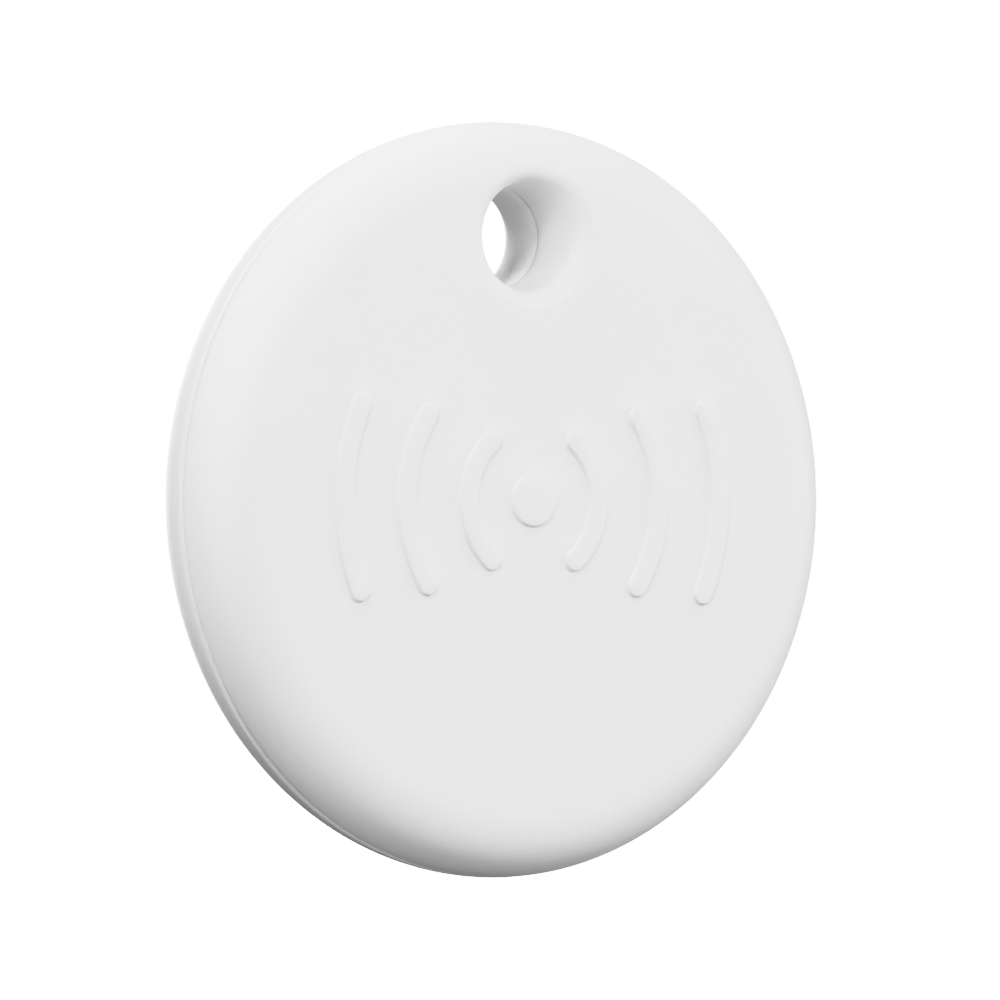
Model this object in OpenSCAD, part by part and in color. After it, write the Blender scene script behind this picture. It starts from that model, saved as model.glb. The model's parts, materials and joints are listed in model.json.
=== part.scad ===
// Round Bluetooth tracker tag with a key ring hole and a replaceable coin cell.
// Row frame: X to the right, +Z up towards the key ring hole, the front face towards -Y.
// The origin is on the axis of the key ring hole, at the middle of its straight wall.
// The modules work in the disc's own frame: X right, Y up, Z from the outer back face
// to the front face, with its origin at the disc's centre. place() moves them.

/* [Disc] */
// Outer diameter of the disc
disc_d = 38.8; // [38.4:0.1:39.6]
// Radius of the rear half's rounded rim, and its depth
rear_round = 4.1; // [4.0:0.05:4.2]
// Radius of the front half's rounded rim, and its depth
front_round = 3.3; // [3.3:0.05:3.5]
// Wall thickness of both shells
wall = 1.0; // [0.9:0.05:1.0]
// Gap of the parting line between the two shells
seam_gap = 0.13; // [0.05:0.01:0.15]

/* [Key ring hole] */
// Radius of the hole's straight wall
hole_r = 2.5; // [2.4:0.05:2.6]
// Distance from the disc's centre to the hole's centre
hole_y = 13.5; // [13.2:0.1:13.6]
// Radius of the rounding where the hole leaves the back
exit_round = 1.4; // [1.2:0.1:1.6]
// Radius of the rounding of the hole's front mouth
mouth_round = 1.1; // [0.8:0.05:1.2]

/* [Raised mark] */
// Height of the raised locate mark on the front face
mark_h = 0.2; // [0.1:0.05:0.3]
// Stroke width of the mark
mark_w = 1.1; // [0.8:0.1:1.4]
// Radius step from one wave of the mark to the next
mark_step = 3.8; // [3.4:0.1:3.9]

/* [Coin cell] */
// Diameter of the coin cell
cell_d = 20; // [19.8:0.1:20]
// Thickness of the coin cell
cell_t = 3.2; // [3.1:0.05:3.2]
// Height of the cell's centre against the disc's centre
cell_y = -2; // [-2.4:0.1:-2]

/* [Board and button] */
// Thickness of the circuit board
board_t = 0.6; // [0.4:0.1:0.6]
// Diameter of the piezo sounder's brass plate
piezo_d = 21; // [19:0.5:21]
// Diameter of the piezo sounder's ceramic disc
ceramic_d = 15; // [13:0.5:15]
// Radius of the button's plunger
plunger_r = 0.75; // [0.6:0.05:0.8]

/* [Hidden] */
$fn = 64;
R = disc_d / 2;
T = rear_round + front_round;
// rim of the rear cover, and rim of the front shell above it
seam_z = rear_round + 0.25;
front_z = seam_z + seam_gap;
// row frame: where the disc's back face and centre lie
back_y = 2.2;
// skirt of the front shell, inside the rear cover
skirt_ir = R - 2.05;
skirt_or = R - 1.3;
skirt_z = 3.0;
// straight wall of the hole, from the back
waist_z0 = exit_round;
waist_z1 = 3.0;
tube_r = hole_r + 0.9;
mouth_tube_r = hole_r + 1.3;
// ends of the rear and the front half of the hole's tube
rear_tube_z = 3.65;
front_tube_z = rear_tube_z + seam_gap;
// slight cone of the front half of the hole
cone_a = 4;
cone_r = hole_r + 0.1;
// coin cell
cell_r = cell_d / 2;
cell_z = 1.1;
cell_top = cell_z + cell_t;
can_h = 2.95;
can_w = 0.25;
// board
board_r = R - 2.5;
board_z = 4.45;
top_z = board_z + board_t;
// inner face of the front wall
roof_z = T - wall;
// piezo sounder, glued under the front wall
glue_t = 0.1;
brass_t = 0.2;
ceramic_t = 0.15;
brass_z = roof_z - glue_t - brass_t;
ceramic_z = brass_z - ceramic_t;
// chassis
chassis_r = R - 2.15;
chassis_z = 3.75;
well_r = cell_r + 0.2;
well_or = cell_r + 1.2;
// heat stakes that hold chassis and board in the front shell
stake_r = 15.2;
stake_angles = [35, 145, 215, 325];
// button
base_h = 0.47;
plunger_z = top_z + 0.25;
plunger_top = ceramic_z - 0.23;

// ---------- shared helpers ----------

// from the disc's own frame to the row frame
module place() {
    translate([0, back_y, -hole_y]) rotate([90, 0, 0]) children();
}

// waste of a rounded outer corner at (x, y), whose centre lies towards (sx, sy)
module corner(x, y, r, sx, sy) {
    e = 0.2;
    difference() {
        translate([x + sx * (r - e) / 2, y + sy * (r - e) / 2]) square(r + e, center = true);
        translate([x + sx * r, y + sy * r]) circle(r = r);
    }
}

// half outline of the disc, inset by w
module disc_profile(w) {
    cx = R - rear_round;
    fx = R - front_round;
    union() {
        translate([0, w]) square([cx, rear_round - w]);
        intersection() {
            translate([cx, rear_round]) circle(r = rear_round - w);
            translate([0, w]) square([R, rear_round - w]);
        }
        translate([0, rear_round]) square([fx, front_round - w]);
        intersection() {
            translate([fx, rear_round]) circle(r = front_round - w);
            translate([0, rear_round]) square([R, front_round - w]);
        }
    }
}

// ring from z0 to z1, between two radii
module ring(r0, r1, z0, z1) {
    difference() {
        translate([0, 0, z0]) cylinder(r = r1, h = z1 - z0);
        translate([0, 0, z0 - 1]) cylinder(r = r0, h = z1 - z0 + 2);
    }
}

// wedge that keeps the angles within a of direction d, out to radius r
module sector(d, a, r) {
    rotate(d) polygon([[0, 0], [r, -r * tan(a)], [r, r * tan(a)]]);
}

// block that stands on the board
module on_board(x, y, w, d, h, turn = 0) {
    translate([x, y, top_z + h / 2]) rotate(turn) cube([w, d, h], center = true);
}

// box with rounded upright edges
module soft_box(w, d, h, r) {
    linear_extrude(h) difference() {
        square([w, d], center = true);
        for (sx = [-1, 1], sy = [-1, 1]) corner(sx * w / 2, sy * d / 2, r, -sx, -sy);
    }
}

// ---------- shells ----------

// one wave of the mark: an arc with round ends
module mark_wave(r, a, d) {
    intersection() {
        difference() {
            circle(r = r + mark_w / 2);
            circle(r = r - mark_w / 2);
        }
        sector(d, a, r + mark_w);
    }
    for (s = [-1, 1]) rotate(d + s * a) translate([r, 0]) circle(r = mark_w / 2 + 0.02);
}

// generic locate mark: a dot with three waves on each side
module locate_mark() {
    circle(r = 1.35);
    for (d = [0, 180]) {
        mark_wave(mark_step + 0.2, 50, d);
        mark_wave(2 * mark_step + 0.2, 34, d);
        mark_wave(3 * mark_step + 0.2, 24, d);
    }
}

// the space of the hole's front cone and its rounded mouth
module mouth_cut() {
    xc = cone_r + (T - mouth_round - front_tube_z) * tan(cone_a) + mouth_round / cos(cone_a);
    xt = xc - mouth_round * cos(cone_a);
    zt = T - mouth_round + mouth_round * sin(cone_a);
    difference() {
        polygon([[0, front_tube_z - 1], [cone_r - tan(cone_a), front_tube_z - 1], [xt, zt],
            [xc, zt], [xc, T + 1], [0, T + 1]]);
        translate([xc, T - mouth_round]) circle(r = mouth_round);
    }
}

module front_shell() color("whitesmoke") place() difference() {
    union() {
        // outer wall, with the skirt that locates in the rear cover
        rotate_extrude() difference() {
            union() {
                intersection() {
                    disc_profile(0);
                    translate([0, front_z]) square([R + 1, T]);
                }
                translate([skirt_ir, skirt_z]) square([skirt_or - skirt_ir, 2]);
            }
            intersection() {
                disc_profile(wall);
                translate([0, front_z - 1]) square([skirt_ir, T]);
            }
            // edge round at the parting line, seal groove, snap groove and lead-in
            corner(R, front_z, 0.12, -1, 1);
            translate([skirt_or - 0.4, 3.95]) square([1, 0.4]);
            translate([skirt_or - 0.15, 3.3]) square([0.6, 0.38]);
            corner(skirt_or, skirt_z, 0.12, -1, 1);
        }
        // front half of the key ring hole's tube
        translate([0, hole_y, front_tube_z])
            cylinder(r = mouth_tube_r, h = T - wall / 2 - front_tube_z);
        // raised mark
        translate([0, 0, T - 0.2]) linear_extrude(mark_h + 0.2) locate_mark();
        // heat stakes with a shoulder on the board and a head under the chassis
        for (a = stake_angles) rotate(a) translate([stake_r, 0, 0]) {
            translate([0, 0, top_z]) cylinder(r = 1.1, h = roof_z + 0.2 - top_z);
            translate([0, 0, chassis_z - 0.3]) cylinder(r = 0.7, h = roof_z - chassis_z + 0.3);
            translate([0, 0, chassis_z - 0.35]) cylinder(r = 1.15, h = 0.35);
        }
    }
    translate([0, hole_y, 0]) rotate_extrude() mouth_cut();
}

module rear_cover() color("whitesmoke") place() difference() {
    union() {
        rotate_extrude() difference() {
            intersection() {
                disc_profile(0);
                translate([0, -1]) square([R + 1, seam_z + 1]);
            }
            intersection() {
                disc_profile(wall);
                square([R, rear_round]);
            }
            translate([0, rear_round]) square([R - wall, 2]);
            // rounded lip at the parting line
            corner(R, seam_z, 0.2, -1, -1);
        }
        // rear half of the key ring hole's tube
        translate([0, hole_y, wall / 2 + 0.2])
            cylinder(r = tube_r, h = rear_tube_z - wall / 2 - 0.2);
        // low ring that locates the foam pad
        ring(5.3, 6.1, wall / 2, wall + 0.05);
        // snap beads inside the rim
        intersection() {
            ring(R - 1.2, R - wall / 2, 3.36, 3.6);
            for (d = [10, 80, 190, 260]) linear_extrude(6) sector(d, 12, R + 1);
        }
    }
    // straight wall of the hole, and its rounded way out of the back
    translate([0, hole_y, -1]) cylinder(r = hole_r, h = 8);
    translate([0, hole_y, 0]) rotate_extrude() difference() {
        translate([0, -1]) square([hole_r + exit_round, exit_round + 1]);
        translate([hole_r + exit_round, exit_round]) circle(r = exit_round);
    }
    // short lead-in at the end of the rear half
    translate([0, hole_y, 0]) rotate_extrude() polygon([[0, waist_z1], [hole_r, waist_z1],
        [hole_r + 0.02, waist_z1 + 0.3], [hole_r + 0.14, rear_tube_z], [hole_r + 0.14, 6], [0, 6]]);
    // shoulder for the hole's seal
    translate([0, hole_y, 0]) ring(hole_r + 0.45, tube_r + 1, rear_tube_z - 0.35, 6);
    // notch for prising the cover off
    rotate(315) translate([R - 0.7, -3, seam_z - 0.75]) cube([2, 6, 2]);
}

module seal_ring() color("dimgray") place() rotate_extrude() {
    translate([skirt_or - 0.4, 3.97]) square([0.5, 0.36]);
    translate([skirt_or + 0.1, 4.15]) circle(r = 0.18);
}

module hole_seal() color("dimgray") place() translate([0, hole_y, 0])
    ring(hole_r + 0.45, tube_r - 0.05, rear_tube_z - 0.35, front_tube_z);

// ---------- chassis and board ----------

module stake_holes() {
    for (a = stake_angles) rotate(a) translate([stake_r, 0, 0]) cylinder(r = 0.8, h = 10);
}

module chassis() color("gainsboro") place() difference() {
    union() {
        translate([0, 0, chassis_z]) cylinder(r = chassis_r, h = board_z - chassis_z);
        translate([0, cell_y, 1.35]) cylinder(r = well_or, h = board_z - 1.35);
        // stiffening ring behind the plate, with room for the stakes' heads
        difference() {
            ring(chassis_r - 3.2, chassis_r - 2.4, 2.9, chassis_z + 0.2);
            for (a = stake_angles) rotate(a) translate([stake_r, 0, 0]) cylinder(r = 1.6, h = 10);
        }
    }
    // battery well, open to the back and to the board
    translate([0, cell_y, 0]) cylinder(r = well_r, h = 10);
    // room for the hole's tube
    translate([0, hole_y, 0]) cylinder(r = 4.3, h = 10);
    stake_holes();
    // slot for the positive clip
    translate([-2.6, cell_y - cell_r - 2.8, 0]) cube([5.2, 3.4, 10]);
    // finger notches for lifting the cell
    for (s = [-1, 1]) translate([s * (cell_r + 1), cell_y, 0]) cylinder(r = 3, h = 3);
}

module circuit_board() color("seagreen") place() difference() {
    translate([0, 0, board_z]) cylinder(r = board_r, h = board_t);
    translate([0, hole_y, 0]) cylinder(r = 4.2, h = 10);
    stake_holes();
}

// ---------- button ----------

module switch_base() color("dimgray") place() translate([0, cell_y, top_z]) difference() {
    soft_box(3.6, 3.0, base_h, 0.3);
    translate([0, 0, 0.07]) cylinder(r = plunger_r + 0.45, h = base_h - 0.13);
    cylinder(r = plunger_r + 0.08, h = 2);
    // solder feet show at the corners
    for (s = [-1, 1]) translate([s * 1.8, 0, 0]) cube([0.5, 1.2, 0.3], center = true);
}

module switch_dome() color("silver") place() translate([0, cell_y, top_z]) rotate_extrude()
    polygon([[0, 0.185], [0.32, 0.175], [0.7, 0.145], [1.08, 0.09],
        [1.08, 0.145], [0.7, 0.197], [0.32, 0.227], [0, 0.235]]);

module switch_plunger() color("darkorange") place() translate([0, cell_y, 0]) rotate_extrude()
    difference() {
        union() {
            translate([0, plunger_z]) square([plunger_r, plunger_top - plunger_z]);
            translate([0, plunger_z]) square([plunger_r + 0.3, 0.12]);
        }
        corner(plunger_r, plunger_top, 0.08, -1, -1);
    }

module press_pad() color("lightgray") place() translate([0, cell_y, plunger_top])
    cylinder(r = 1.4, h = ceramic_z - 0.03 - plunger_top);

// ---------- piezo sounder ----------

module piezo_plate() color("goldenrod") place()
    translate([0, cell_y, brass_z]) cylinder(r = piezo_d / 2, h = brass_t);

module piezo_ceramic() color("ivory") place()
    translate([0, cell_y, ceramic_z]) cylinder(r = ceramic_d / 2, h = ceramic_t);

module piezo_adhesive_ring() color("lightyellow") place() translate([0, cell_y, 0])
    ring(piezo_d / 2 - 2, piezo_d / 2, roof_z - glue_t, roof_z);

// leaf spring from the board up to height z
module leaf(z) {
    rotate([90, 0, 0]) translate([0, 0, -0.5]) linear_extrude(1.0) {
        translate([-1.2, top_z]) square([2.4, 0.1]);
        translate([1.1, top_z]) square([0.1, 0.45]);
        polygon([[1.2, top_z + 0.45], [1.1, top_z + 0.35], [-0.8, z - 0.1], [-0.7, z],
            [-0.5, z]]);
        translate([-0.75, z - 0.1]) circle(r = 0.1);
    }
}

module piezo_contacts() color("gold") place() {
    translate([-4.6, cell_y, 0]) leaf(ceramic_z);
    translate([0, cell_y - 9.1, 0]) rotate(180) leaf(brass_z);
}

// ---------- coin cell ----------

module battery_can() color("silver") place() translate([0, cell_y, cell_z]) rotate_extrude()
    difference() {
        square([cell_r, can_h]);
        translate([0, can_w]) square([cell_r - can_w, can_h - 0.45]);
        translate([0, can_w]) square([cell_r - 1.05, 10]);
        corner(cell_r, 0, 0.4, -1, 1);
        corner(cell_r, can_h, 0.35, -1, -1);
    }

module battery_cap() color("lightgray") place() translate([0, cell_y, cell_z]) rotate_extrude()
    difference() {
        translate([0, 0.45]) square([cell_r - 1.3, cell_t - 0.45]);
        square([cell_r - 1.55, cell_t - can_w]);
        corner(cell_r - 1.3, cell_t, 0.2, -1, -1);
    }

module battery_gasket() color("black") place() translate([0, cell_y, cell_z]) rotate_extrude() {
    translate([cell_r - 1.3, can_w]) square([1.05, can_h - 0.45]);
    translate([cell_r - 1.3, can_w]) square([0.25, can_h - 0.1]);
    translate([cell_r - 1.8, can_w]) square([0.6, 0.45 - can_w]);
}

module battery_cathode() color("dimgray") place()
    translate([0, cell_y, cell_z + can_w]) cylinder(r = cell_r - 1.9, h = 1.5);

module battery_separator() color("white") place()
    translate([0, cell_y, cell_z + can_w + 1.5]) cylinder(r = cell_r - 1.6, h = 0.2);

module battery_anode() color("lightsteelblue") place()
    translate([0, cell_y, cell_z + can_w + 1.7]) cylinder(r = cell_r - 1.9, h = cell_t - 2 * can_w - 1.7);

module battery_foam_pad() color("gray") place()
    translate([0, cell_y, wall]) cylinder(r = 2.9, h = cell_z - wall);

// strip up the side of the can, with its foot on the board
module battery_positive_clip() color("gold") place() translate([0, cell_y - cell_r - 0.02, 0]) {
    translate([-2, -0.2, 2.2]) cube([4, 0.2, board_z - 2.2]);
    translate([-2, -2.2, board_z - 0.2]) cube([4, 2.2, 0.2]);
    translate([-2, -0.2, 2.2]) rotate([0, 90, 0]) cylinder(r = 0.2, h = 4);
}

// star of three leaves on the board, with a dimple on each end
module battery_negative_spring() color("gold") place() translate([0, cell_y, 0]) {
    translate([0, 0, board_z - 0.1]) cylinder(r = 1.7, h = 0.1);
    for (a = [90, 210, 330]) rotate(a) {
        translate([0, -0.75, board_z - 0.1]) cube([5.5, 1.5, 0.1]);
        translate([5.5, 0, board_z - 0.1]) cylinder(r = 0.75, h = 0.1);
        translate([5.5, 0, cell_top]) cylinder(r = 0.45, h = board_z - cell_top);
    }
}

// ---------- parts on the board ----------

module bluetooth_chip() color("dimgray") place() difference() {
    on_board(7.2, -9.6, 5, 5, 0.75);
    translate([5.4, -7.8, top_z + 0.7]) cylinder(r = 0.3, h = 1);
}

module piezo_driver_chip() color("dimgray") place() on_board(-6.6, -8.4, 2, 2, 0.55);

module radio_crystal() color("silver") place() on_board(10.9, -2.0, 2.0, 1.6, 0.45);

module clock_crystal() color("silver") place() on_board(11.1, -4.6, 3.2, 1.5, 0.75);

module chip_antenna() color("steelblue") place() on_board(0, -15.4, 5.2, 1.6, 0.6);

module power_inductor() color("dimgray") place() difference() {
    on_board(-9.2, 3.2, 2.5, 2.0, 0.8);
    for (s = [-1, 1]) translate([-9.2 + s * 1.25, 3.2, top_z + 0.4]) cube([0.2, 1.2, 1], center = true);
}

module chip_capacitors() color("tan") place() {
    for (i = [0:3]) on_board(3.3 + 1.6 * i, -6.1, 1.0, 0.5, 0.5, 90);
    for (i = [0:2]) on_board(-9.4, -1.2 - 1.5 * i, 1.0, 0.5, 0.5);
    on_board(-3.6, -13.6, 1.0, 0.5, 0.5, 90);
    on_board(-6.6, 3.2, 1.0, 0.5, 0.5, 90);
}

module chip_resistors() color("black") place() {
    for (i = [0:2]) on_board(-6.4 + 1.4 * i, -11.4, 1.0, 0.5, 0.35, 90);
    for (i = [0:1]) on_board(11.4, -11.0 - 1.3 * i, 1.0, 0.5, 0.35);
    on_board(4.0, 3.4, 1.0, 0.5, 0.35);
}

front_shell();
rear_cover();
seal_ring();
hole_seal();
chassis();
circuit_board();
switch_base();
switch_dome();
switch_plunger();
press_pad();
piezo_plate();
piezo_ceramic();
piezo_adhesive_ring();
piezo_contacts();
battery_can();
battery_cap();
battery_gasket();
battery_cathode();
battery_separator();
battery_anode();
battery_foam_pad();
battery_positive_clip();
battery_negative_spring();
bluetooth_chip();
piezo_driver_chip();
radio_crystal();
clock_crystal();
chip_antenna();
power_inductor();
chip_capacitors();
chip_resistors();
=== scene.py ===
import json
import math

import bpy
import bmesh
from mathutils import Matrix, Vector
from mathutils.geometry import delaunay_2d_cdt


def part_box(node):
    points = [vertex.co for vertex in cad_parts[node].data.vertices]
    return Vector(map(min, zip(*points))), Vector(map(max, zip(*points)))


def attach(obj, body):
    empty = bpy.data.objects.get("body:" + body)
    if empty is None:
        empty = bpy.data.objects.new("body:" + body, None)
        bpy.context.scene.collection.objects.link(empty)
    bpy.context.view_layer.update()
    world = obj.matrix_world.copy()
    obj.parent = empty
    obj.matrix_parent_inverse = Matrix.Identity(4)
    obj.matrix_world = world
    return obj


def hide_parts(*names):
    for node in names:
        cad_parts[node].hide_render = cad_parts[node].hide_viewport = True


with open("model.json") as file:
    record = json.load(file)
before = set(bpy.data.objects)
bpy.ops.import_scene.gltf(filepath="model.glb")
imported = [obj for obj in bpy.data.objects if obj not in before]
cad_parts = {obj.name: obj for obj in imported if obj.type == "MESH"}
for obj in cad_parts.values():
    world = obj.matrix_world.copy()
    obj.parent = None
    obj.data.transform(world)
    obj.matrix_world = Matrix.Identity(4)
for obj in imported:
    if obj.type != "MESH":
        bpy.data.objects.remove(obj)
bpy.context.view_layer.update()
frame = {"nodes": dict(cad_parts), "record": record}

MM = 0.001

# ---------------------------------------------------------------- sizes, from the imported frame
# The shells are made in the disc's own frame, in millimetres: x right, y up from the disc's centre,
# s from the outer back face towards the front face.
cover_lo, cover_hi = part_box("rear_cover")
shell_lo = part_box("front_shell")[0]
BACK_Y = cover_hi.y
CENTRE_Z = (cover_lo.z + cover_hi.z) / 2
R = (cover_hi.x - cover_lo.x) / 2 / MM
# raised mark: height, stroke width, radius step of the waves, radius of the dot, half width of its sloping edge
MARK_H = 0.2
MARK_W = 1.1
MARK_STEP = 3.8
DOT_R = 1.35
EDGE = 0.065
# thickness without the mark, distance from the centre to the hole, ends of the two shells at the parting line
T = (cover_hi.y - shell_lo.y) / MM - MARK_H
HOLE_Y = -CENTRE_Z / MM
SEAM = (cover_hi.y - cover_lo.y) / MM
GAP = 0.13
FRONT_Z = SEAM + GAP
# radii of the rim's rear and front rounding, and of the flat back and front inside them
REAR_ROUND = SEAM - 0.25
FRONT_ROUND = T - REAR_ROUND
BX = R - REAR_ROUND
FX = R - FRONT_ROUND
WALL = 1.0
ROOF = T - WALL
# the hole: straight wall up to WAIST, lead-in to REAR_TUBE, gap, cone from FRONT_TUBE to the rounded mouth
HOLE_R = 2.5
WAIST = 3.0
REAR_TUBE = 3.65
FRONT_TUBE = REAR_TUBE + GAP
CONE_R = 2.6
CONE_A = math.radians(4)
MOUTH_ROUND = 1.1
EXIT_ROUND = 1.4
# outer radii of the tube's front and rear half, and radii of the front shell's skirt
TUBE_FRONT = 3.8
TUBE_REAR = 3.4
SKIRT_IN = R - 2.05
SKIRT_OUT = R - 1.3
# radii where the rim's rings take over from the triangulated face and back, and of the bowl's floor
FACE_END = 17.75
BACK_END = 18.0
FLOOR_END = 17.4
# points round the rim and round the hole, spacing of the points over the flats, in mm and degrees
N_RIM = 256
N_HOLE = 144
STEP = 0.9
TURN = 2.0


def row(x, y, s):
    """A point of the disc's frame in the row frame, in metres."""
    return (x * MM, BACK_Y - s * MM, CENTRE_Z + y * MM)


class Build:
    """Collects points and faces in the disc's frame, then makes one welded mesh."""

    def __init__(self):
        self.points = []
        self.faces = []

    def add(self, x, y, s):
        self.points.append((x, y, s))
        return len(self.points) - 1

    def ring(self, pts):
        return [self.add(*p) for p in pts]

    def strip(self, a, b):
        """Joins two rings of as many points."""
        n = len(a)
        for i in range(n):
            j = (i + 1) % n
            self.faces.append((a[i], a[j], b[j], b[i]))

    def lathe(self, profile, n=N_RIM, cx=0.0, cy=0.0, close=False):
        """Turns a profile of (radius, s) about the axis through (cx, cy)."""
        rings = [self.ring([(x, y, s) for x, y in circle(r, n, cx, cy)]) for r, s in profile]
        for a, b in zip(rings, rings[1:]):
            self.strip(a, b)
        if close:
            self.strip(rings[-1], rings[0])
        return rings

    def cap(self, ring, flip=False):
        self.faces.append(tuple(ring[::-1] if flip else ring))

    def field(self, loops, extra, inside, height, flip=False):
        """Triangulates a region bounded by loops, with extra points in it, and lifts it to height(x, y)."""
        verts, edges = [], []
        for loop in loops:
            start = len(verts)
            verts += [Vector(p) for p in loop]
            k = len(loop)
            edges += [(start + i, start + (i + 1) % k) for i in range(k)]
        verts += [Vector(p) for p in extra]
        out, _, tris, *_ = delaunay_2d_cdt(verts, edges, [], 0, 1e-6)
        index = [self.add(p.x, p.y, height(p.x, p.y)) for p in out]
        for t in tris:
            cx = sum(out[i].x for i in t) / 3
            cy = sum(out[i].y for i in t) / 3
            if not inside(cx, cy):
                continue
            a, b, c = (out[i] for i in t)
            area = (b.x - a.x) * (c.y - a.y) - (c.x - a.x) * (b.y - a.y)
            if abs(area) < 1e-9:
                continue
            face = tuple(index[i] for i in t)
            if (area < 0) != flip:
                face = face[::-1]
            self.faces.append(face)

    def mesh(self, name, sharp=40):
        bm = bmesh.new()
        verts = [bm.verts.new(row(*p)) for p in self.points]
        for f in self.faces:
            try:
                bm.faces.new([verts[i] for i in f])
            except ValueError:
                pass
        bmesh.ops.remove_doubles(bm, verts=bm.verts, dist=2e-7)
        loose = [v for v in bm.verts if not v.link_faces]
        bmesh.ops.delete(bm, geom=loose, context="VERTS")
        bmesh.ops.recalc_face_normals(bm, faces=bm.faces)
        limit = math.radians(sharp)
        for e in bm.edges:
            e.smooth = len(e.link_faces) == 2 and e.calc_face_angle(0) < limit
        for f in bm.faces:
            f.smooth = True
        me = bpy.data.meshes.new(name)
        bm.to_mesh(me)
        bm.free()
        obj = bpy.data.objects.new(name, me)
        bpy.context.scene.collection.objects.link(obj)
        return obj


def circle(r, n, cx=0.0, cy=0.0):
    return [(cx + r * math.cos(2 * math.pi * i / n), cy + r * math.sin(2 * math.pi * i / n)) for i in range(n)]


def arc(cx, cy, r, a0, a1, n):
    """Profile points on an arc, with angles from the radial axis, in degrees."""
    return [(cx + r * math.cos(math.radians(a0 + (a1 - a0) * i / n)),
             cy + r * math.sin(math.radians(a0 + (a1 - a0) * i / n))) for i in range(n + 1)]


def smooth(t):
    """Eases from 0 to 1, and stays level outside."""
    t = min(max(t, 0.0), 1.0)
    return t * t * (3 - 2 * t)


def from_hole(x, y):
    """Distance from the hole's axis."""
    return math.hypot(x, y - HOLE_Y)


def hole_ring(b, rho, height):
    """A ring of points at radius rho from the hole's axis, at height(x, y)."""
    return b.ring([(x, y, height(x, y)) for x, y in circle(rho, N_HOLE, 0, HOLE_Y)])


def between(outer, inner):
    """Test for a point within the radius outer of the disc and beyond the radius inner of the hole."""
    return lambda x, y: math.hypot(x, y) < outer and from_hole(x, y) > inner - 1e-4


def rounding_points(flat_r, round_r, end, clear):
    """Circles of points over a rim's rounding, every TURN degrees of its arc, up to the radius end."""
    pts = []
    turn = 0.0
    while True:
        r = flat_r + round_r * math.sin(math.radians(turn)) - (0.02 if turn == 0 else 0)
        if r > end - 0.06:
            return pts
        pts += [p for p in circle(r, N_RIM) if from_hole(*p) > clear]
        turn += TURN


def flat_points(limit, clear):
    """A staggered grid of points over a flat, within the radius limit."""
    pts = []
    for i in range(-20, 21):
        for j in range(-22, 23):
            x, y = i * STEP + (STEP / 2 if j % 2 else 0), j * STEP * 0.87
            if math.hypot(x, y) <= limit and from_hole(x, y) >= clear:
                pts.append((x, y))
    return pts


def wall_points(first, last, count, clear):
    """Circles of points over the inner side of a wall."""
    pts = []
    for k in range(count):
        pts += [p for p in circle(first + (last - first) * k / count, N_RIM // 2) if from_hole(*p) > clear]
    return pts


# ---------------------------------------------------------------- the raised mark
# radius, half angle and direction of each wave
WAVES = [(k * MARK_STEP + 0.2, a, d) for d in (0, 180) for k, a in ((1, 50), (2, 34), (3, 24))]


def mark_distance(x, y):
    """Signed distance to the outline of the locate mark, negative inside."""
    best = math.hypot(x, y) - DOT_R
    rho, ang = math.hypot(x, y), math.degrees(math.atan2(y, x))
    for r0, a, d in WAVES:
        off = (ang - d + 180) % 360 - 180
        if abs(off) <= a:
            dist = abs(rho - r0) - MARK_W / 2
        else:
            e = math.radians(d + math.copysign(a, off))
            dist = math.hypot(x - r0 * math.cos(e), y - r0 * math.sin(e)) - MARK_W / 2
        best = min(best, dist)
    return best


def mark_height(x, y):
    """Height of the mark over the face, with a smooth slope across its outline."""
    return MARK_H * smooth((EDGE - mark_distance(x, y)) / (2 * EDGE))


def mark_loops():
    """Outlines of the dot and the waves, in nine steps across the sloping edge."""
    loops = []
    for k in range(-4, 5):
        o = EDGE * k / 4
        loops.append(circle(DOT_R + o, 56))
        for r0, a, d in WAVES:
            h = MARK_W / 2 + o
            n = max(8, int(2 * r0 * math.radians(a) / 0.3))
            pts = []
            for way in (1, -1):
                pts += arc(0, 0, r0 + way * h, d - way * a, d + way * a, n)
                end = d + way * a
                cx, cy = arc(0, 0, r0, end, end, 1)[0]
                start = end if way == 1 else end + 180
                pts += arc(cx, cy, h, start, start + 180, 14)[1:-1]
            loops.append(pts)
    return loops


# ---------------------------------------------------------------- front shell
def front_base(r):
    """s of the plain face and its rounded rim, at a radius."""
    if r <= FX:
        return T
    return REAR_ROUND + math.sqrt(max(FRONT_ROUND ** 2 - (r - FX) ** 2, 0.0))


def front_mouth_profile():
    """(distance from the hole's axis, s) from the face's plane down to the parting plane."""
    f = MOUTH_ROUND
    xc = CONE_R + (T - f - FRONT_TUBE) * math.tan(CONE_A) + f / math.cos(CONE_A)
    pts = []
    for i in range(13):
        t = (math.pi / 2 - CONE_A) * i / 12
        pts.append((xc - f * math.sin(t), T - f + f * math.cos(t)))
    x1, z1 = pts[-1]
    for i in range(1, 8):
        k = i / 8
        pts.append((x1 + (CONE_R - x1) * k, z1 + (FRONT_TUBE + 0.06 - z1) * k))
    pts.append((CONE_R, FRONT_TUBE + 0.06))
    return pts


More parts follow.
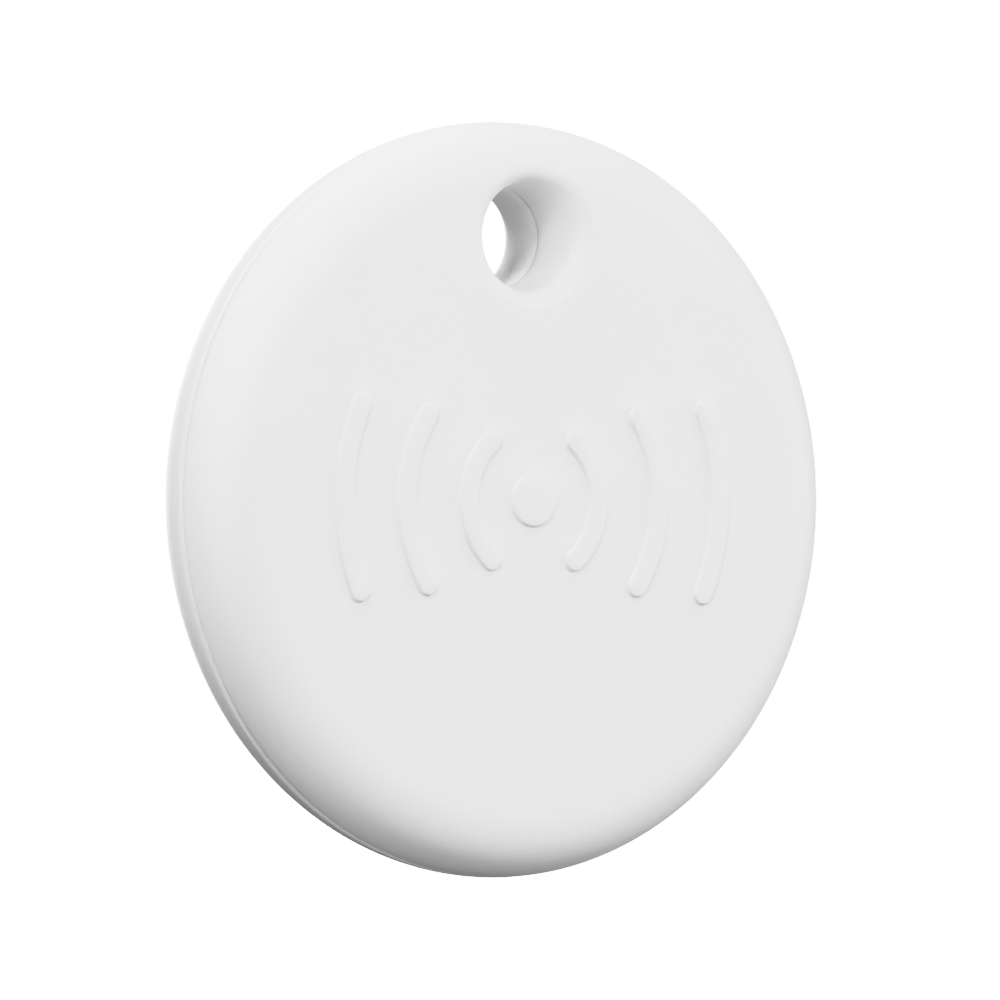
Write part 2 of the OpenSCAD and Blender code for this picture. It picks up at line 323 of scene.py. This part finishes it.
def front_shell():
    b = Build()
    prof = front_mouth_profile()
    mouth_r = prof[0][0]

    # outer skin: the face with its mark, up to where the rim's own rings start
    def skin(x, y):
        return front_base(math.hypot(x, y)) + (mark_height(x, y) if abs(y) < 7 else 0.0)

    loops = [circle(FACE_END, N_RIM), circle(mouth_r, N_HOLE, 0, HOLE_Y)] + mark_loops()
    extra = rounding_points(FX, FRONT_ROUND, FACE_END, mouth_r + 0.07)
    for grow in (0.12, 0.3, 0.6):
        extra += [p for p in circle(mouth_r + grow, N_HOLE // 2, 0, HOLE_Y) if math.hypot(*p) < FX - 0.1]
    extra += [p for p in flat_points(FX - 0.5, mouth_r + 0.9)
              if mark_distance(*p) > EDGE + 0.2 or mark_distance(*p) < -EDGE - 0.15]
    b.field(loops, extra, between(FACE_END, mouth_r), skin)

    # the rim, its small edge round at the parting line, the skirt, and the inner wall
    edge_r = 0.13
    phi0 = math.degrees(math.asin((FACE_END - FX) / FRONT_ROUND))
    phi1 = math.degrees(math.acos((FRONT_Z - REAR_ROUND + edge_r) / (FRONT_ROUND - edge_r)))
    profile = arc(FX, REAR_ROUND, FRONT_ROUND, 90 - phi0, 90 - phi1, 26)
    cx = FX + (FRONT_ROUND - edge_r) * math.sin(math.radians(phi1))
    cs = REAR_ROUND + (FRONT_ROUND - edge_r) * math.cos(math.radians(phi1))
    profile += arc(cx, cs, edge_r, 90 - phi1, -90, 8)[1:]
    # the skirt's outside, with the seal's groove and the groove for the snap beads
    out = SKIRT_OUT
    profile += [(out, FRONT_Z), (out, 4.35), (out - 0.4, 4.35), (out - 0.4, 3.95), (out, 3.95),
                (out, 3.68), (out - 0.15, 3.68), (out - 0.15, 3.3), (out, 3.3)]
    profile += arc(out - 0.12, 3.12, 0.12, 0, -90, 4) + [(SKIRT_IN, 3.0)]
    inner = FRONT_ROUND - WALL
    meet = math.acos((SKIRT_IN - FX) / inner)
    profile += [(SKIRT_IN, REAR_ROUND + inner * math.sin(meet))]
    b.lathe(profile)

    # inner side of the front wall, round the tube
    def roof(x, y):
        r = math.hypot(x, y)
        return ROOF if r <= FX else REAR_ROUND + math.sqrt(max(inner ** 2 - (r - FX) ** 2, 0.0))

    b.field([circle(SKIRT_IN, N_RIM), circle(TUBE_FRONT, N_HOLE, 0, HOLE_Y)],
            wall_points(FX, SKIRT_IN, 8, TUBE_FRONT + 0.1), between(SKIRT_IN, TUBE_FRONT), roof)

    # the hole: mouth and cone, lowered with the rim where the face falls away, then the tube's end and outside
    rings = []
    for rho, z in prof:
        k = (z - FRONT_TUBE) / (T - FRONT_TUBE)
        rings.append(hole_ring(b, rho, lambda x, y: (1 - k) * FRONT_TUBE + k * front_base(math.hypot(x, y))))
    for rho, z in ((CONE_R + 0.02, FRONT_TUBE + 0.02), (CONE_R + 0.06, FRONT_TUBE), (TUBE_FRONT, FRONT_TUBE)):
        rings.append(hole_ring(b, rho, lambda x, y: z))
    rings.append(hole_ring(b, TUBE_FRONT, roof))
    for p, q in zip(rings, rings[1:]):
        b.strip(p, q)

    # heat stakes: shoulder on the board, head under the chassis
    for a in (35, 145, 215, 325):
        x, y = 15.2 * math.cos(math.radians(a)), 15.2 * math.sin(math.radians(a))
        made = b.lathe([(1.1, ROOF + 0.15), (1.1, 5.05), (0.7, 5.05), (0.7, 3.75), (1.1, 3.75), (1.15, 3.7),
                        (1.1, 3.56), (0.85, 3.44), (0.5, 3.4)], 28, x, y)
        b.cap(made[0])
        b.cap(made[-1], True)
    return b.mesh("front_shell_skin")


# ---------------------------------------------------------------- rear cover
def back_base(r):
    """s of the back and its rounded rim, at a radius."""
    if r <= BX:
        return 0.0
    return REAR_ROUND - math.sqrt(max(REAR_ROUND ** 2 - (r - BX) ** 2, 0.0))


def rear_cover():
    b = Build()
    exit_r = HOLE_R + EXIT_ROUND

    # outer skin: the back, up to where the rim's own rings start
    def skin(x, y):
        return back_base(math.hypot(x, y))

    extra = rounding_points(BX, REAR_ROUND, BACK_END, exit_r + 0.07) + flat_points(BX - 0.5, exit_r + 0.6)
    b.field([circle(BACK_END, N_RIM), circle(exit_r, N_HOLE, 0, HOLE_Y)], extra, between(BACK_END, exit_r),
            skin, flip=True)

    # the rim, its rounded lip at the parting line, and the inner wall
    lip_r = SEAM - REAR_ROUND
    psi0 = math.degrees(math.asin((BACK_END - BX) / REAR_ROUND))
    profile = arc(BX, REAR_ROUND, REAR_ROUND, psi0 - 90, 0, 28)
    profile += arc(R - lip_r, SEAM - lip_r, lip_r, 0, 90, 8)[1:]
    inner = REAR_ROUND - WALL
    lip_in = R - WALL
    meet = math.degrees(math.acos((FLOOR_END - BX) / inner))
    profile += [(lip_in + 0.06, SEAM), (lip_in, SEAM - 0.06)]
    profile += arc(BX, REAR_ROUND, inner, 0, -meet, 14)
    rings = b.lathe(profile)

    # notch for prising the cover off, pressed into the rim at 45 degrees below the right, 3 mm to each side
    notch_r, notch_half = R - 0.7, 3.0
    for ring in rings:
        for k in ring:
            x, y, s = b.points[k]
            r, ang = math.hypot(x, y), math.degrees(math.atan2(y, x))
            if r < notch_r or s < 3.2:
                continue
            off = abs((ang + 45 + 180) % 360 - 180) / math.degrees(notch_half / R)
            new = r - (r - notch_r) * smooth((1.12 - off) / 0.24) * smooth((s - 3.45) / 0.35)
            b.points[k] = (x * new / r, y * new / r, s)

    # floor of the bowl, round the tube
    def floor(x, y):
        r = math.hypot(x, y)
        return WALL if r <= BX else REAR_ROUND - math.sqrt(max(inner ** 2 - (r - BX) ** 2, 0.0))

    b.field([circle(FLOOR_END, N_RIM), circle(TUBE_REAR, N_HOLE, 0, HOLE_Y)],
            wall_points(BX, FLOOR_END, 10, TUBE_REAR + 0.1), between(FLOOR_END, TUBE_REAR), floor)

    # the hole: rounded way out, straight wall, lead-in, seal shoulder and the tube's outside
    rings = []
    for rho, z in arc(exit_r, EXIT_ROUND, EXIT_ROUND, -90, -180, 14):
        k = (WAIST - z) / WAIST
        rings.append(hole_ring(b, rho, lambda x, y: (1 - k) * WAIST + k * back_base(math.hypot(x, y))))
    seat, seat_r = REAR_TUBE - 0.35, HOLE_R + 0.45
    for rho, z in ((HOLE_R, 2.0), (HOLE_R, 2.5), (HOLE_R, WAIST - 0.04),
                   (HOLE_R + 0.004, WAIST + 0.08), (HOLE_R + 0.015, WAIST + 0.23), (HOLE_R + 0.035, WAIST + 0.34),
                   (HOLE_R + 0.115, REAR_TUBE - 0.08), (HOLE_R + 0.14, REAR_TUBE - 0.03),
                   (HOLE_R + 0.17, REAR_TUBE), (seat_r, REAR_TUBE), (seat_r, seat), (TUBE_REAR, seat)):
        rings.append(hole_ring(b, rho, lambda x, y: z))
    rings.append(hole_ring(b, TUBE_REAR, floor))
    for p, q in zip(rings, rings[1:]):
        b.strip(p, q)

    # snap beads inside the rim
    bead_r, bead_half, n = R - 1.2, 12, 24
    bead = [(R - 0.8, 3.36), (R - 1.16, 3.38), (bead_r, 3.43), (bead_r, 3.53), (R - 1.16, 3.58), (R - 0.8, 3.6)]
    for d in (10, 80, 190, 260):
        sections = []
        for i in range(n + 1):
            t = math.radians(d - bead_half + 2 * bead_half * i / n)
            inset = 0.18 * max(1 - min(i, n - i) / 2, 0.0)
            sections.append([b.add(max(r, bead_r + inset) * math.cos(t), max(r, bead_r + inset) * math.sin(t), s)
                             for r, s in bead])
        for p, q in zip(sections, sections[1:]):
            for k in range(6):
                m = (k + 1) % 6
                b.faces.append((p[k], p[m], q[m], q[k]))
        b.faces.append(tuple(sections[0]))
        b.faces.append(tuple(sections[-1][::-1]))

    # low ring that locates the foam pad
    can_lo, can_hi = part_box("battery_can")
    cell_y = ((can_lo.z + can_hi.z) / 2 - CENTRE_Z) / MM
    b.lathe([(5.3, 0.9), (5.3, 1.04), (5.33, 1.05), (6.07, 1.05), (6.1, 1.04), (6.1, 0.9)],
            96, 0, cell_y, close=True)
    return b.mesh("rear_cover_skin")


# ---------------------------------------------------------------- materials
# scales of noise are per metre of object space, distances of bumps are in metres
GRAIN_FINE = 9000.0
GRAIN_MID = 3200.0
SUBSURFACE = 0.00015


class Nodes:
    """Short way to write a material's node tree."""

    def __init__(self, name):
        self.mat = bpy.data.materials.new(name)
        self.mat.use_nodes = True
        self.tree = self.mat.node_tree
        self.tree.nodes.clear()
        self.out = self.new("ShaderNodeOutputMaterial")
        self.bsdf = self.new("ShaderNodeBsdfPrincipled")
        self.link(self.bsdf, "BSDF", self.out, "Surface")
        self.coord = self.new("ShaderNodeTexCoord")

    def new(self, kind, **values):
        node = self.tree.nodes.new(kind)
        for key, value in values.items():
            node.inputs[key].default_value = value
        return node

    def link(self, a, out, b, into):
        self.tree.links.new(a.outputs[out], b.inputs[into])

    def noise(self, scale, detail=3.0, rough=0.5, stretch=None):
        node = self.new("ShaderNodeTexNoise", Scale=scale, Detail=detail, Roughness=rough)
        if stretch:
            mapping = self.new("ShaderNodeMapping", Scale=stretch)
            self.link(self.coord, "Object", mapping, "Vector")
            self.link(mapping, "Vector", node, "Vector")
        else:
            self.link(self.coord, "Object", node, "Vector")
        return node

    def colours(self, source, out, stops):
        ramp = self.new("ShaderNodeValToRGB")
        elements = ramp.color_ramp.elements
        while len(elements) < len(stops):
            elements.new(0.5)
        for e, (pos, colour) in zip(elements, stops):
            e.position = pos
            e.color = (*colour, 1.0)
        self.link(source, out, ramp, "Fac")
        return ramp

    def spread(self, source, out, lo, hi, a=0.3, b=0.7):
        node = self.new("ShaderNodeMapRange")
        node.inputs["From Min"].default_value = a
        node.inputs["From Max"].default_value = b
        node.inputs["To Min"].default_value = lo
        node.inputs["To Max"].default_value = hi
        self.link(source, out, node, "Value")
        return node

    def bump(self, source, out, strength, distance, before=None):
        node = self.new("ShaderNodeBump", Strength=strength, Distance=distance)
        self.link(source, out, node, "Height")
        if before:
            self.link(before, "Normal", node, "Normal")
        return node


def shade(colour, k):
    return tuple(min(max(c * k, 0.0), 1.0) for c in colour)


def moulded(name, colour, rough=0.5, grain=1.0, sub=0.0, vary=0.03):
    """Moulded plastic with a bead-blasted texture: a fine grain over a soft unevenness."""
    n = Nodes(name)
    soft = n.noise(140.0, 2.0)
    fine = n.noise(GRAIN_FINE, 2.0, 0.6)
    mid = n.noise(GRAIN_MID, 2.0, 0.5)
    ramp = n.colours(soft, "Fac", [(0.35, shade(colour, 1 - vary)), (0.65, shade(colour, 1 + vary / 3))])
    n.link(ramp, "Color", n.bsdf, "Base Color")
    r = n.spread(mid, "Fac", rough - 0.05, rough + 0.05)
    n.link(r, "Result", n.bsdf, "Roughness")
    first = n.bump(mid, "Fac", 0.10 * grain, 0.00005)
    second = n.bump(fine, "Fac", 0.32 * grain, 0.00003, first)
    n.link(second, "Normal", n.bsdf, "Normal")
    n.bsdf.inputs["Specular IOR Level"].default_value = 0.35
    if sub:
        n.bsdf.inputs["Subsurface Weight"].default_value = sub
        n.bsdf.inputs["Subsurface Radius"].default_value = (1.0, 0.95, 0.9)
        n.bsdf.inputs["Subsurface Scale"].default_value = SUBSURFACE
    return n.mat


def metal(name, colour, rough=0.3, brushed=(1.0, 1.0, 1.0), scale=900.0):
    """Metal with streaks drawn out by the scale brushed, and faint smears."""
    n = Nodes(name)
    streak = n.noise(scale, 4.0, 0.6, brushed)
    smear = n.noise(220.0, 3.0)
    ramp = n.colours(smear, "Fac", [(0.3, shade(colour, 0.90)), (0.7, shade(colour, 1.04))])
    n.link(ramp, "Color", n.bsdf, "Base Color")
    r = n.spread(streak, "Fac", rough - 0.08, rough + 0.12)
    n.link(r, "Result", n.bsdf, "Roughness")
    b = n.bump(streak, "Fac", 0.12, 0.00004)
    n.link(b, "Normal", n.bsdf, "Normal")
    n.bsdf.inputs["Metallic"].default_value = 1.0
    return n.mat


def soft(name, colour, rough=0.65, scale=2600.0, strength=0.3, vary=0.12):
    """Rubber, paper, foam or ceramic: pores over a cloudy colour."""
    n = Nodes(name)
    pores = n.noise(scale, 4.0, 0.65)
    cloud = n.noise(260.0, 3.0)
    ramp = n.colours(cloud, "Fac", [(0.3, shade(colour, 1 - vary)), (0.7, shade(colour, 1 + vary))])
    n.link(ramp, "Color", n.bsdf, "Base Color")
    r = n.spread(pores, "Fac", rough - 0.08, rough + 0.08)
    n.link(r, "Result", n.bsdf, "Roughness")
    b = n.bump(pores, "Fac", strength, 0.00006)
    n.link(b, "Normal", n.bsdf, "Normal")
    return n.mat


def board(name):
    """Green solder mask over copper tracks and a woven laminate."""
    n = Nodes(name)
    weave = n.new("ShaderNodeTexWave", Scale=900.0, Distortion=0.4)
    n.link(n.coord, "Object", weave, "Vector")
    tracks = n.new("ShaderNodeTexVoronoi", Scale=520.0)
    tracks.feature = "DISTANCE_TO_EDGE"
    tracks.distance = "MANHATTAN"
    n.link(n.coord, "Object", tracks, "Vector")
    ramp = n.colours(tracks, "Distance", [(0.04, (0.05, 0.32, 0.15)), (0.10, (0.015, 0.17, 0.075))])
    n.link(ramp, "Color", n.bsdf, "Base Color")
    r = n.spread(weave, "Fac", 0.28, 0.36, 0.0, 1.0)
    n.link(r, "Result", n.bsdf, "Roughness")
    first = n.bump(weave, "Fac", 0.08, 0.00003)
    second = n.bump(tracks, "Distance", 0.25, 0.00005, first)
    n.link(second, "Normal", n.bsdf, "Normal")
    n.bsdf.inputs["Coat Weight"].default_value = 0.3
    n.bsdf.inputs["Coat Roughness"].default_value = 0.2
    return n.mat


WHITE = (0.80, 0.80, 0.80)
MATERIALS = {
    "white_shell": moulded("white_shell_plastic", WHITE, 0.55, 1.0, 0.25, 0.012),
    "seal_silicone": soft("seal_silicone", (0.05, 0.05, 0.052), 0.55, 2200.0, 0.2),
    "chassis_plastic": moulded("chassis_plastic", (0.52, 0.53, 0.54), 0.5, 1.2, 0.0, 0.05),
    "board_laminate": board("board_laminate"),
    "switch_plastic": moulded("switch_plastic", (0.03, 0.03, 0.032), 0.42, 1.0, 0.0, 0.1),
    "spring_steel": metal("spring_steel", (0.74, 0.74, 0.72), 0.22),
    "plunger_plastic": moulded("plunger_plastic", (0.62, 0.22, 0.04), 0.4, 1.0, 0.0, 0.08),
    "pad_silicone": soft("pad_silicone", (0.45, 0.45, 0.46), 0.5, 2000.0, 0.15),
    "piezo_brass": metal("piezo_brass", (0.78, 0.56, 0.22), 0.28, (1.0, 1.0, 9.0), 400.0),
    "piezo_white_ceramic": soft("piezo_ceramic_face", (0.72, 0.70, 0.64), 0.4, 3200.0, 0.15, 0.05),
    "adhesive_film": soft("adhesive_film", (0.72, 0.68, 0.5), 0.35, 900.0, 0.1, 0.06),
    "gold_contact": metal("gold_contact", (0.83, 0.62, 0.26), 0.25),
    "cell_steel": metal("cell_steel", (0.66, 0.66, 0.65), 0.27, (1.0, 1.0, 14.0), 260.0),
    "cap_steel": metal("cap_steel", (0.60, 0.60, 0.60), 0.34, (14.0, 1.0, 1.0), 260.0),
    "cell_gasket": moulded("cell_gasket", (0.03, 0.03, 0.035), 0.45, 1.0, 0.0, 0.1),
    "cathode_pellet": soft("cathode_pellet", (0.03, 0.03, 0.03), 0.8, 4200.0, 0.5),
    "separator_paper": soft("separator_paper", (0.80, 0.80, 0.77), 0.85, 2600.0, 0.5, 0.05),
    "lithium_disc": metal("lithium_disc", (0.55, 0.57, 0.59), 0.5),
    "pad_foam": soft("pad_foam", (0.035, 0.035, 0.037), 0.85, 3000.0, 0.9, 0.2),
    "chip_epoxy": moulded("chip_epoxy", (0.022, 0.022, 0.024), 0.48, 1.4, 0.0, 0.12),
    "crystal_metal": metal("crystal_metal", (0.70, 0.70, 0.68), 0.3, (9.0, 1.0, 1.0), 300.0),
    "antenna_ceramic": soft("antenna_ceramic", (0.24, 0.38, 0.50), 0.4, 2600.0, 0.2, 0.06),
    "inductor_ferrite": soft("inductor_ferrite", (0.06, 0.06, 0.065), 0.7, 3400.0, 0.6),
    "capacitor_ceramic": soft("capacitor_ceramic", (0.42, 0.30, 0.18), 0.45, 3000.0, 0.25, 0.1),
    "resistor_black": soft("resistor_black", (0.025, 0.025, 0.027), 0.4, 3000.0, 0.2, 0.1),
}

# every piece of the frame gets the look of its own slot
slots = {s["node"]: s["material_slot"] for s in frame["record"]["subparts"]}
for name, obj in frame["nodes"].items():
    obj.data.materials.clear()
    obj.data.materials.append(MATERIALS[slots[name]])

front = front_shell()
rear = rear_cover()
for obj, body, node in ((front, "tag", "front_shell"), (rear, "rear_cover", "rear_cover")):
    obj.data.materials.append(MATERIALS["white_shell"])
    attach(obj, body)
    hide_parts(node)

# ---------------------------------------------------------------- stage, light and camera
scene = bpy.context.scene
BACKDROP = 3.1
AMBIENT = 0.02
SHOULDER, CEILING = 0.5, 0.93


def shoulder(v):
    """A camera's soft highlight shoulder: linear up to SHOULDER, then bending towards CEILING."""
    if v <= SHOULDER:
        return v
    span = CEILING - SHOULDER
    return SHOULDER + span * (1 - math.exp(-(v - SHOULDER) / span))


settings = scene.view_settings
settings.view_transform = "Standard"
settings.look = "None"
settings.use_curve_mapping = True
mapping = settings.curve_mapping
mapping.clip_max_x = BACKDROP
combined = mapping.curves[3]
stops = [0.0] + [SHOULDER + 0.1 * k for k in range(18)]
# the last two points take the backdrop to pure white
values = [(v, shoulder(v)) for v in stops] + [(2.6, 0.96), (3.0, 1.0)]
combined.points[0].location = values[0]
combined.points[-1].location = values[-1]
for v in values[1:-1]:
    combined.points.new(*v)
for point in combined.points:
    point.handle_type = "VECTOR"
mapping.update()

target = Vector((0.0, BACK_Y - T * MM / 2, CENTRE_Z))


def from_disc(azimuth, elevation, distance):
    """A point in metres, seen from the disc's middle: azimuth to the right of its front, elevation up."""
    a, e = math.radians(azimuth), math.radians(elevation)
    return target + distance * Vector((math.sin(a) * math.cos(e), -math.cos(a) * math.cos(e), math.sin(e)))


# The picture is square. The disc's radius and centre in it, and the distance in radii, fix the lens and the shift.
PICTURE = 1000
DISC_RADIUS = 377.5
DISC_X, DISC_Y = 492.56, 500.08
DISTANCE = 32.12
AZIMUTH, ELEVATION, ROLL = -34.02, -0.42, -0.5
camera = bpy.data.cameras.new("camera")
camera.sensor_width = 36.0
camera.lens = camera.sensor_width * DISC_RADIUS * DISTANCE / PICTURE
camera.clip_start = 0.01
camera.clip_end = 20.0
camera.shift_x = (PICTURE / 2 - DISC_X) / PICTURE
camera.shift_y = (DISC_Y - PICTURE / 2) / PICTURE
eye = bpy.data.objects.new("camera", camera)
scene.collection.objects.link(eye)
eye.location = from_disc(AZIMUTH, ELEVATION, DISTANCE * R * MM)
back = (eye.location - target).normalized()
right = Vector((0, 0, 1)).cross(back).normalized()
up = back.cross(right)
roll = math.radians(ROLL)
side = right * math.cos(roll) - up * math.sin(roll)
eye.rotation_mode = "QUATERNION"
eye.rotation_quaternion = Matrix((side, back.cross(side), back)).transposed().to_quaternion()
scene.camera = eye

# azimuth and elevation as seen from the disc, size in metres, power in watts
LIGHT_DISTANCE = 0.5
LIGHTS = {
    "key": (15, 35, 0.10, 1.34),
    "key_left": (-45, 35, 0.10, 0.96),
    "key_left_low": (-45, 15, 0.10, 0.53),
    "top": (0, 89, 0.25, 0.47),
    "fill_left": (-70, 0, 0.25, 0.98),
    "fill_right": (70, 0, 0.25, 1.30),
    "fill_low": (34, -35, 0.25, 0.77),
    "back_left": (-110, 45, 0.10, 1.07),
    "back_left_low": (-110, 0, 0.10, 0.12),
    "back_right": (150, 60, 0.10, 1.05),
    "back_low": (165, 5, 0.25, 1.85),
}
for name, (azimuth, elevation, size, power) in LIGHTS.items():
    lamp = bpy.data.lights.new(name, "AREA")
    lamp.shape = "DISK"
    lamp.size = size
    lamp.energy = power
    obj = bpy.data.objects.new(name, lamp)
    obj.location = from_disc(azimuth, elevation, LIGHT_DISTANCE)
    obj.rotation_euler = (obj.location - target).to_track_quat("Z", "Y").to_euler()
    scene.collection.objects.link(obj)

# the backdrop is white to the camera and lights the tag only a little
world = bpy.data.worlds.new("studio")
world.use_nodes = True
scene.world = world
tree = world.node_tree
path = tree.nodes.new("ShaderNodeLightPath")
level = tree.nodes.new("ShaderNodeMapRange")
level.inputs["To Min"].default_value = AMBIENT
level.inputs["To Max"].default_value = BACKDROP
tree.links.new(path.outputs["Is Camera Ray"], level.inputs["Value"])
tree.links.new(level.outputs["Result"], tree.nodes["Background"].inputs["Strength"])
tree.nodes["Background"].inputs["Color"].default_value = (1, 1, 1, 1)

# a plain white floor just under the tag, which only the camera sees
paper = bpy.data.materials.new("floor_white")
paper.use_nodes = True
shader = paper.node_tree.nodes["Principled BSDF"]
shader.inputs["Base Color"].default_value = (0.8, 0.8, 0.8, 1)
shader.inputs["Emission Color"].default_value = (1, 1, 1, 1)
shader.inputs["Emission Strength"].default_value = BACKDROP
bm = bmesh.new()
bmesh.ops.create_grid(bm, x_segments=1, y_segments=1, size=1.5)
ground = bpy.data.meshes.new("floor")
bm.to_mesh(ground)
bm.free()
floor_plane = bpy.data.objects.new("floor", ground)
scene.collection.objects.link(floor_plane)
floor_plane.location = (0, 0, cover_lo.z - 0.2 * MM)
ground.materials.append(paper)
for ray in ("diffuse", "glossy", "transmission", "shadow"):
    setattr(floor_plane, "visible_" + ray, False)
